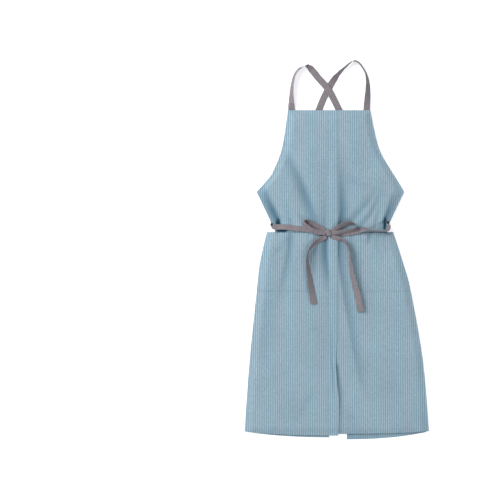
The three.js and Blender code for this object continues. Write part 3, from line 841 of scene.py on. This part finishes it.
def stitch_row(name, cloth_name, path, body=None, bend=None):
    """A row of short raised stitches on the upper face of a cloth, along a path of (x, y)."""
    cloth = bpy.data.objects[cloth_name].data
    tree = BVHTree.FromPolygons([v.co for v in cloth.vertices], [tuple(p.vertices) for p in cloth.polygons])
    turn = np.linspace(0, 2 * math.pi, STITCH_SIDES, endpoint=False)
    points, faces = [], []
    for (x, y), (dx, dy) in zip(*evenly(path, STITCH_PITCH)):
        rings = []
        for share, size in STITCH_RINGS:
            px, py = x + dx * share * STITCH_LENGTH, y + dy * share * STITCH_LENGTH
            hit = tree.ray_cast((px * MM, py * MM, 0.1), (0, 0, -1))[0]
            if hit is None:
                break
            radius = STITCH_RADIUS * size
            rings.append([(px - dy * math.cos(t) * radius, py + dx * math.cos(t) * radius,
                           hit.z / MM + math.sin(t) * radius - STITCH_RADIUS * (1 - size)) for t in turn])
        if len(rings) < len(STITCH_RINGS):
            continue
        base = len(points)
        points += [p for ring in rings for p in ring]
        for ring in range(len(STITCH_RINGS) - 1):
            start = base + ring * STITCH_SIDES
            for k in range(STITCH_SIDES):
                a, b = start + k, start + (k + 1) % STITCH_SIDES
                faces.append((a, b, b + STITCH_SIDES, a + STITCH_SIDES))
        faces.append(tuple(base + k for k in reversed(range(STITCH_SIDES))))
        faces.append(tuple(base + 2 * STITCH_SIDES + k for k in range(STITCH_SIDES)))
    points = np.array(points)
    obj = add_mesh(name, points, faces, points[:, :2] * MM)
    obj.data.materials.append(THREAD)
    attach(obj, body, bend)


PLACKET_ROW_X = PLACKET[0][0] + STITCH_INSET
# The row along the bib's top stops short of the placket on each side.
TOP_ROW_END = {"left": PLACKET_ROW_X - 6, "right": PLACKET[1][0] - STITCH_INSET - 1.2 + 14}


def stitch_pocket(side):
    pocket = POCKET[side]
    inner, outer = panel_ends(POCKET, side, pocket.low + 5)
    inner_x, outer_x = inner + SIDES[side] * STITCH_INSET, outer - SIDES[side] * STITCH_INSET
    foot = pocket.low + STITCH_INSET
    stitch_row(f"pocket_{side}_stitches", f"pocket_{side}_cloth",
               [(inner_x, pocket.high - 3), (inner_x, foot), (outer_x, foot)], body="skirt")


def stitch_bib(side):
    cloth = f"bib_front_{side}_cloth"
    heights = np.linspace(BIB_TOP - 15, ARMHOLE_STITCH_LOW, 40)
    armhole = [(front_edge(side, y) - SIDES[side] * ARMHOLE_STITCH_INSET, y) for y in heights]
    stitch_row(f"armhole_{side}_stitches", cloth, armhole, bend=BIB_BEND)
    corner_x = front_edge(side, BIB_TOP_STITCH_Y) - SIDES[side] * 4
    stitch_row(f"bib_top_{side}_stitches", cloth,
               [(corner_x, BIB_TOP_STITCH_Y), (TOP_ROW_END[side], BIB_TOP_STITCH_Y)], bend=BIB_BEND)


stitch_row("bib_placket_stitches", "bib_placket_cloth",
           [(PLACKET_ROW_X, BIB_TOP - 3), (PLACKET_ROW_X, WAIST_SPLIT + 3)], bend=BIB_BEND)
stitch_row("skirt_placket_stitches", "skirt_placket_cloth",
           [(PLACKET_ROW_X, WAIST_SPLIT - 3), (PLACKET_ROW_X, PLACKET[0][1] + 4)], body="skirt")
for side in SIDES:
    stitch_pocket(side)
    stitch_bib(side)


# ---------------------------------------------------------------- the back

WING_INSET = 1.6
FLAP_FOOT = -556
FLAP_HEM_INNER_READ = -550
FLAP_HEM_OUTER_READ = -540
FLAP_SIDE_LOWEST = -543
FLAP_BEND_WIDTH = 5
TURN_RISE = 0.65


def make_wing(side):
    """The cloth behind the side of the bib and behind the waist, down to the skirt's top."""
    def wing_ends(y):
        if y > WING[side].low:
            return panel_ends(WING, side, y)
        fill = NOTCH_FILL[side] * float(smooth((90 - y) / 14))
        return inner_end(WAIST_BACK, side, y), front_edge(side, y) + SIDES[side] * fill

    high, low = WING[side].high, WAIST_BACK[side].low
    heights = np.linspace(high, low, steps(high - low))
    x = rows_between(wing_ends, side, heights, steps(160), WING_INSET)
    y = np.repeat(heights[:, None], x.shape[1], axis=1)
    grid = np.stack([x, y, WING_TOP + 0.22 * ripple(x, y, 60, 5.5)], axis=-1)
    # Painted shade: a little over the whole wing, which lies under the front, and deep shade in the slots
    # beside the tie.
    shade = np.maximum(0.25, 1.9 * hollow(x, y))
    other = "right" if side == "left" else "left"
    cloth_piece(f"wing_{side}_cloth", grid, shade, [f"wing_{side}", f"waist_back_{side}"],
                [f"strap_run_{other}_tape"], bend=BIB_BEND)
    top = grid[heights > high - 10] + [0, -0.5, 0.7]
    facing_piece(f"wing_{side}_turned", top, 0.2, f"wing_facing_{side}", f"wing_{side}_cloth", "bib")


def flap_bend(side):
    """A narrow strip inward of the flap's joint axis, handed on as the flap's bend."""
    joint = next(j for j in frame["joints"] if j["name"] == f"back_flap_{side}_open")
    place, axis = Vector(joint["pos_m"]), Vector(joint["axis"]).normalized()
    inward = Vector((-SIDES[side], 0, 0))
    inward = (inward - axis * inward.dot(axis)).normalized()
    start, end = place + inward * 0.4 * MM, place + inward * FLAP_BEND_WIDTH * MM
    return "skirt", f"back_flap_{side}", start[:], end[:]


def make_back_flap(side):
    top = FLAP[side].high
    heights = np.linspace(top, FLAP_FOOT, steps(top - FLAP_FOOT))

    def flap_ends(y):
        return inner_end(FLAP, side, y), outer_end(FLAP, side, max(y, FLAP_SIDE_LOWEST))

    x = rows_between(flap_ends, side, heights, steps(240))
    inner, outer = inner_end(FLAP, side, FLAP_HEM_INNER_READ), outer_end(FLAP, side, FLAP_HEM_OUTER_READ)
    hem = FLAP[side].hem(FLAP_HEM_BELOW)
    hem_y = np.array([hem(value) for value in inner + (outer - inner) * np.linspace(0, 1, x.shape[1])])
    v = np.arange(len(heights)) / (len(heights) - 1)
    y = top + (hem_y - top)[None, :] * v[:, None]
    grid = np.stack([x, y, FLAP_TOP + 0 * x], axis=-1)
    panel, body = f"back_panel_{side}_cloth", f"back_flap_{side}"
    # Painted shade over the flap, which lies under the front and shows below its hem.
    cloth_piece(panel, grid, 0.35 + 0 * x, [f"back_panel_{side}"], ["floor"], bend=flap_bend(side))
    hem_row = len(heights) - HEM_ROWS
    turned = grid[hem_row:, 3:-3] + [0, 0.8, TURN_RISE]
    facing_piece(f"back_hem_{side}_turned", turned, 0.3, f"back_hem_{side}", panel, body)
    edge = grid[:hem_row - 1, :4] + [SIDES[side] * 0.6, 0, TURN_RISE]
    facing_piece(f"back_edge_{side}_turned", edge, 0.3, f"back_edge_facing_{side}", panel, body)


for side in SIDES:
    make_wing(side)
    make_back_flap(side)


# ---------------------------------------------------------------- tape

def catmull(points, count):
    """A centripetal Catmull-Rom line through the points, count steps to each."""
    points = np.array(points, float)
    padded = np.concatenate([[2 * points[0] - points[1]], points, [2 * points[-1] - points[-2]]])
    out = []
    for i in range(len(points) - 1):
        p0, p1, p2, p3 = padded[i:i + 4]
        gaps = [max(np.linalg.norm(b - a), 1e-4) ** 0.5 for a, b in ((p0, p1), (p1, p2), (p2, p3))]
        m1 = (p1 - p0) / gaps[0] - (p2 - p0) / (gaps[0] + gaps[1]) + (p2 - p1) / gaps[1]
        m2 = (p2 - p1) / gaps[1] - (p3 - p1) / (gaps[1] + gaps[2]) + (p3 - p2) / gaps[2]
        m1, m2 = m1 * gaps[1], m2 * gaps[1]
        for k in range(count):
            t = k / count
            out.append((2 * t**3 - 3 * t**2 + 1) * p1 + (t**3 - 2 * t**2 + t) * m1
                       + (3 * t**2 - 2 * t**3) * p2 + (t**3 - t**2) * m2)
    out.append(points[-1])
    return np.array(out)


TAPE_STEPS = 8
SECTION_POINTS = 20


def tape_frames(route, lift):
    """Centre, across, normal, width and thickness at each step of a route of (x, y, low, lean, gather)."""
    route = np.array([(*point, 0, 0)[:5] for point in route])
    line = catmull(route[:, :3], TAPE_STEPS)
    along = np.gradient(line, axis=0)
    along /= np.linalg.norm(along, axis=1, keepdims=True)
    place = np.arange(len(line)) / TAPE_STEPS
    index = np.minimum(place.astype(int), len(route) - 2)
    share = smooth(place - index)
    lean, gather = route[index, 3:].T * (1 - share) + route[index + 1, 3:].T * share
    lean = np.radians(lean)
    width = TAPE_WIDTH + (GATHERED_WIDTH - TAPE_WIDTH) * gather
    thick = TAPE_THICK + (GATHERED_THICK - TAPE_THICK) * gather
    level = np.cross([0, 0, 1], along)
    level /= np.linalg.norm(level, axis=1, keepdims=True)
    raised = np.cross(along, level)
    across = level * np.cos(lean)[:, None] + raised * np.sin(lean)[:, None]
    normal = np.cross(along, across)
    low = np.maximum(line[:, 2], 0)
    if lift is not None:
        low = low + lift(line[:, 0], line[:, 1])
    centre = line.copy()
    centre[:, 2] = low + np.abs(across[:, 2]) * width / 2 + np.abs(normal[:, 2]) * thick / 2
    return centre, across, normal, width, thick


def power(value, exponent):
    """A power that keeps the sign, which squares off a circle."""
    return np.sign(value) * np.abs(value) ** exponent


def make_tape(nodes, route, rests_on, body=None, bend=None, lift=None, held="laid"):
    """A closed band with rounded edges along a route, named after the first CAD node that it stands for."""
    centre, across, normal, width, thick = tape_frames(route, lift)
    turn = np.linspace(0, 2 * math.pi, SECTION_POINTS, endpoint=False)
    shape_x, shape_z = power(np.cos(turn), 0.55) / 2, power(np.sin(turn), 0.75) / 2
    length = np.concatenate([[0], np.cumsum(np.linalg.norm(np.diff(centre, axis=0), axis=1))])
    rings = (centre[:, None] + across[:, None] * (shape_x[None, :, None] * width[:, None, None])
             + normal[:, None] * (shape_z[None, :, None] * thick[:, None, None]))
    shape = rings.shape[:2]
    across_uv = np.broadcast_to(shape_x[None, :] * TAPE_WIDTH, shape)
    uv = np.stack([across_uv, np.broadcast_to(length[:, None], shape)], axis=-1).reshape(-1, 2) * MM
    uv = np.concatenate([uv, [[0, 0], [0, length[-1] * MM]]])
    points = np.concatenate([rings.reshape(-1, 3), [centre[0], centre[-1]]])
    obj = add_mesh(f"{nodes[0]}_tape", points, tube_faces(*shape), uv)
    dress(obj, MELANGE)
    area = float(np.sum((width[1:] + width[:-1]) / 2 * np.diff(length))) * MM * MM
    declare(obj, (TAPE_WIDTH * MM, float(length[-1]) * MM), area, held, rests_on)
    attach(obj, body, bend)
    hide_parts(*nodes)


CAD_FRONT_TOP = 4.5


def on_front(x, y):
    """How far the visible cloth stands above the plain CAD layer, under a tape."""
    high = np.zeros_like(x)
    for dy in (-7, 0, 7):
        high = np.maximum(high, front_height(x, y + dy)[0])
    return high + 0.3 - CAD_FRONT_TOP


# Routes of (x, y, lower edge, lean in degrees, share gathered); a lean or a gather of nothing is left out.
STRAP_LOOPS = {
    "left": [
        (-136, 394.5, 1.1), (-136, 410, 1.1), (-136, 418.3, 1.1), (-136, 428.3, 1.1, -8),
        (-136.5, 446, 0.5, -40), (-136, 472, 0, -57), (-133, 500, 0, -67), (-125, 527, 0, -70),
        (-111, 543, 0, -68), (-98, 549, 0, -85), (-86, 548, 0.5, -126), (-74, 537, 1.5, -165),
        (-58, 517, 2.6, -178), (-25, 479, 3.2, -180), (-8, 448, 1.8, -180), (7, 418.3, 0, -180),
        (13, 406, 0, -180),
    ],
    "right": [
        (90, 394.5, 1.1), (90, 410, 1.1), (90, 418.3, 1.1), (90, 428.3, 1.1, 5), (91.5, 450, 0.5, 20),
        (93, 480, 0, 38), (92, 505, 0, 54), (87, 527, 0, 66), (76.5, 546, 0, 69), (65, 560, 0, 68),
        (54, 565, 0, 67), (42, 560.5, 0, 98), (25, 546, 0, 107), (6.5, 528, 0, 124), (-9, 509, 0, 156),
        (-20, 491, 0, 178), (-38, 457, 0, 180), (-54, 418.3, 0, 180), (-59, 407, 0, 180),
    ],
}
STRAP_BEND = ("bib", "straps", (0, STRAP_BEND_START * MM, 0), (0, STRAP_BEND_END * MM, 0))
for side in SIDES:
    make_tape([f"strap_loop_{side}", f"strap_end_{side}"], STRAP_LOOPS[side], ["floor"], bend=STRAP_BEND)

LOOP_CENTRE = {side: sum(node_box(f"side_loop_{side}")) / 2 for side in SIDES}
THROUGH_LOOP = 2.73
LOOP_HALF = 4.3


def in_loop(side, up):
    """A point of the gathered tape in its side loop, so far up from the loop's middle."""
    x, y, _ = LOOP_CENTRE[side]
    return x, y + up, THROUGH_LOOP, 0, 1


STRAP_RUNS = {
    "left": [
        (13.5, 404.9, 0), (44, 330, 0), (84, 235, 0), (120, 160, 0), (146, 99.3, 0), (148.2, 94.4, 0),
        (151.2, 90.6, 0, 0, 0.15), (153.6, 88, 1.4, 0, 0.75), in_loop("right", LOOP_HALF),
        in_loop("right", 0),
    ],
    "right": [
        (-59.6, 405.8, 0), (-90, 330, 0), (-130, 235, 0), (-162, 160, 0), (-187, 99.3, 0), (-190.7, 90, 0),
        (-193.2, 85.2, 0, 0, 0.1), (-194.9, 82, 1.4, 0, 0.75), in_loop("left", LOOP_HALF),
        in_loop("left", 0),
    ],
}
for side in SIDES:
    make_tape([f"strap_run_{side}"], STRAP_RUNS[side], ["floor"], bend=BIB_BEND)


def lift_after_loop(side):
    """A tie rises from its side loop to the level of the front cloth."""
    def lift(x, y):
        return on_front(x, y) * smooth((SIDES[side] * (LOOP_CENTRE[side][0] - x) - 2) / 22)
    return lift


WAIST_TIES = {
    "left": [
        in_loop("left", -0.3), in_loop("left", -LOOP_HALF), (-191.5, 67.5, 4.5, 0, 0.55),
        (-184, 67.5, 4.8, 0, 0.2), (-160, 68, 4.8, -14, 0.2), (-122, 63.5, 4.8, -22, 0.2),
        (-83, 60, 4.8, -18, 0.2), (-60, 56, 4.8, 0, 0.15), (-46, 53, 5.6, 0, 0.3),
        (-33.5, 50.5, 6.2, 0, 0.5),
    ],
    "right": [
        in_loop("right", -0.3), in_loop("right", -LOOP_HALF), (155.5, 69, 4.8, 50, 0.35), (153, 60, 4.8, 64),
        (145, 56.5, 4.8, 76), (130, 56.5, 4.8, 80), (110, 57.5, 4.8, 80), (92, 59.5, 4.8, 72),
        (77, 60.5, 4.8, 45), (62, 57, 4.8, 12, 0.1), (40, 52.5, 4.8), (14, 50.3, 5.9), (-6, 50, 5.9, 0, 0.2),
        (-17.5, 50, 6.2, 0, 0.5),
    ],
}
for side in SIDES:
    make_tape([f"waist_tie_{side}"], WAIST_TIES[side], [f"bib_front_{side}_cloth"], body="skirt",
              lift=lift_after_loop(side))


# ---------------------------------------------------------------- bow

BOW_LOOPS = {
    "left": [
        (-35, 56, 9, 0, 0.5), (-48, 63, 7.4, -10, 0.2), (-65, 71, 7.4, -22, 0.05), (-81, 79, 7.4, -36),
        (-92, 85.5, 7.4, -60), (-100, 85.5, 7.4, -94), (-99, 77.5, 8.2, -122), (-89, 67, 9.4, -136),
        (-77, 58, 10.2, -142, 0.05), (-62, 53, 10.8, -152, 0.15), (-48, 51, 11.7, -168, 0.3),
        (-35, 50, 11.7, -180, 0.5),
    ],
    "right": [
        (-16, 56.5, 9, 0, 0.5), (-5, 60.5, 8.6, 24, 0.25), (8, 68.5, 7.4, 36, 0.1), (21, 75, 6.6, 42),
        (36, 79, 6.4, 52), (48.5, 78.5, 6.4, 72, 0.05), (56, 70.5, 6.4, 94, 0.05), (53.5, 61, 6.6, 112),
        (44, 57.5, 7.2, 128, 0.1), (30, 55.5, 7.8, 138, 0.3), (14, 53, 9.0, 150, 0.4),
        (-1, 51, 10.4, 166, 0.5), (-16, 50.4, 11.7, 180, 0.55),
    ],
}
TAILS = {
    "left": [
        (-32, 38.8, 9, 0, 0.5), (-47, 31.5, 7.4, -20, 0.2), (-62.5, 21.5, 7, -46, 0.1), (-77, 7.5, 7, -62),
        (-84.5, -3, 7, -74), (-88, -17, 7, -74), (-88.5, -36, 7, -62), (-85.5, -60, 7, -49),
        (-79.5, -99, 7, -34), (-69, -163, 7, -12),
    ],
    "right": [
        (-18, 38.8, 9, 0, 0.5), (-2, 33.5, 7.4, 16, 0.3), (15, 30, 7, 60, 0.1), (24, 21.5, 7, 72),
        (30.5, 11, 7, 78), (35.5, -4, 7, 85), (37.5, -24, 7, 76), (41.5, -56, 7, 58), (50, -95, 7, 44),
        (61, -137, 7, 31), (71, -185, 7, 20),
    ],
}
BOW_LIFT = 1.6


def bow_lift(x, y):
    return BOW_LIFT + 0.35 * np.clip(on_front(x, y) - BOW_LIFT, 0, None)


def tail_lift(x, y):
    share = smooth((44 - y) / 60)
    return bow_lift(x, y) * (1 - share) + (on_front(x, y) - 0.9) * share


for side in SIDES:
    make_tape([f"bow_loop_{side}"], BOW_LOOPS[side], [f"waist_tie_{side}_tape"], body=f"tie_loop_{side}",
              lift=bow_lift, held="folded")
    make_tape([f"tail_{side}"], TAILS[side], [f"pocket_{side}_cloth"], body=f"tie_tail_{side}", lift=tail_lift)


KNOT_TILT = 30


def make_knot():
    """The pulled knot: one wrap of tape over the crossing, creased along its length."""
    low, high = node_box("bow_knot")
    middle, half = (low + high) / 2, (high - low) / 2
    turns = np.linspace(0, 2 * math.pi, 40, endpoint=False)
    ups = np.linspace(-math.pi / 2, math.pi / 2, 24)[1:-1]
    turn, up = np.meshgrid(turns, ups)
    x = power(np.cos(up), 0.8) * power(np.cos(turn), 0.8)
    y = power(np.cos(up), 0.8) * power(np.sin(turn), 0.8)
    z = power(np.sin(up), 0.9)
    band = 1 + 0.16 * np.exp(-((x + 0.1) / 0.34) ** 2) - 0.1 * np.exp(-((np.abs(x + 0.1) - 0.52) / 0.12) ** 2)
    pinch = 1 - 0.12 * np.exp(-(((y - 0.25) / 0.3) ** 2))
    ring = np.stack([x * pinch * half[0], y * half[1], z * band * half[2] * 0.92], axis=-1)
    tilt = math.radians(KNOT_TILT)
    turned = ring.copy()
    turned[..., 0] = ring[..., 0] * math.cos(tilt) - ring[..., 1] * math.sin(tilt)
    turned[..., 1] = ring[..., 1] * math.cos(tilt) + ring[..., 0] * math.sin(tilt)
    turned += middle + np.array([0, 0, BOW_LIFT])
    ends = np.array([(middle[0], middle[1], z + BOW_LIFT) for z in (low[2], high[2] - 0.6)])
    points = np.concatenate([turned.reshape(-1, 3), ends])
    uv = np.stack([turn * 9, up * 12], axis=-1).reshape(-1, 2) * MM
    uv = np.concatenate([uv, [[0, 0], [0, 0]]])
    obj = add_mesh("bow_knot_wrap", points, tube_faces(*turned.shape[:2]), uv)
    dress(obj, MELANGE)
    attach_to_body(obj, "skirt")
    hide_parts("bow_knot")


make_knot()


SLEEVE_WALL = 1.1


def make_side_loop(side):
    """A short sleeve of black elastic, its rims rolled."""
    low, high = node_box(f"side_loop_{side}")
    middle, half = (low + high) / 2, (high - low) / 2
    outside = half[0]
    inside = outside - SLEEVE_WALL
    rim = [(inside, -half[1] + 0.4), (inside + 0.3, -half[1]), (outside - 0.3, -half[1]),
           (outside, -half[1] + 0.5), (outside - 0.15, -1)]
    profile = rim + [(r, -h) for r, h in reversed(rim)]
    turns = np.linspace(0, 2 * math.pi, 48, endpoint=False)
    ribs = 1 + 0.02 * np.cos(turns * 16)
    rings = np.array([[(r * rib * math.cos(t), h, r * rib * math.sin(t)) for t, rib in zip(turns, ribs)]
                      for r, h in profile]) + middle
    rows, columns = rings.shape[:2]
    index = np.arange(rows * columns).reshape(rows, columns)
    nxt = np.roll(index, -1, axis=1)
    down = np.roll(index, -1, axis=0)
    corner = np.roll(nxt, -1, axis=0)
    faces = np.stack([index, nxt, corner, down], axis=-1).reshape(-1, 4)
    uv = np.array([[(t * outside, h) for t in turns] for _, h in profile]).reshape(-1, 2) * MM
    obj = add_mesh(f"side_loop_{side}_elastic", rings.reshape(-1, 3), faces.tolist(), uv)
    dress(obj, ELASTIC)
    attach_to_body(obj, "skirt")
    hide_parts(f"side_loop_{side}")


for side in SIDES:
    make_side_loop(side)


# ---------------------------------------------------------------- floor, light and camera

FLOOR_HALF = 4.0
FLOOR_LEVEL = -1.3 * MM


def white_floor():
    material, tree, shader = new_material("white_floor")
    set_inputs(tree, shader, {"Base Color": (0.93, 0.93, 0.95, 1), "Roughness": 0.9,
                              "Emission Color": (0.97, 0.97, 1.0, 1), "Emission Strength": 0.42})
    mesh = bpy.data.meshes.new("floor")
    corners = [(x * FLOOR_HALF, y * FLOOR_HALF, FLOOR_LEVEL) for x, y in ((-1, -1), (1, -1), (1, 1), (-1, 1))]
    mesh.from_pydata(corners, [], [(0, 1, 2, 3)])
    mesh.materials.append(material)
    floor = add_object("floor", mesh)


def area_light(name, place, target, size, power, colour=(1, 1, 1)):
    data = bpy.data.lights.new(name, "AREA")
    data.energy = power
    data.size = size
    data.color = colour
    light = bpy.data.objects.new(name, data)
    light.location = place
    direction = Vector(target) - Vector(place)
    light.rotation_mode = "QUATERNION"
    light.rotation_quaternion = direction.to_track_quat("-Z", "Y")
    bpy.context.scene.collection.objects.link(light)


def set_world():
    world = bpy.data.worlds.new("studio")
    bpy.context.scene.world = world
    world.use_nodes = True
    background = world.node_tree.nodes["Background"]
    background.inputs["Color"].default_value = (0.97, 0.98, 1.0, 1)
    background.inputs["Strength"].default_value = 0.45


FRAME_WIDTH = 1.5
CAMERA_HEIGHT = 4.6
VIEW_CENTRE = (-0.2604, -0.0012)


def set_camera():
    data = bpy.data.cameras.new("camera")
    data.sensor_width = 36
    data.lens = data.sensor_width * CAMERA_HEIGHT / FRAME_WIDTH
    data.clip_end = 50
    camera = bpy.data.objects.new("camera", data)
    camera.location = (VIEW_CENTRE[0], VIEW_CENTRE[1], CAMERA_HEIGHT)
    bpy.context.scene.collection.objects.link(camera)
    bpy.context.scene.camera = camera


white_floor()
set_world()
area_light("key", (-2.5, 1.5, 2.2), (0, 0, 0), 1.8, 120)
area_light("fill", (1.8, -2.0, 2.8), (0, -0.2, 0), 2.4, 46, (0.96, 0.98, 1.0))
set_camera()
bpy.context.scene.view_settings.view_transform = "Standard"
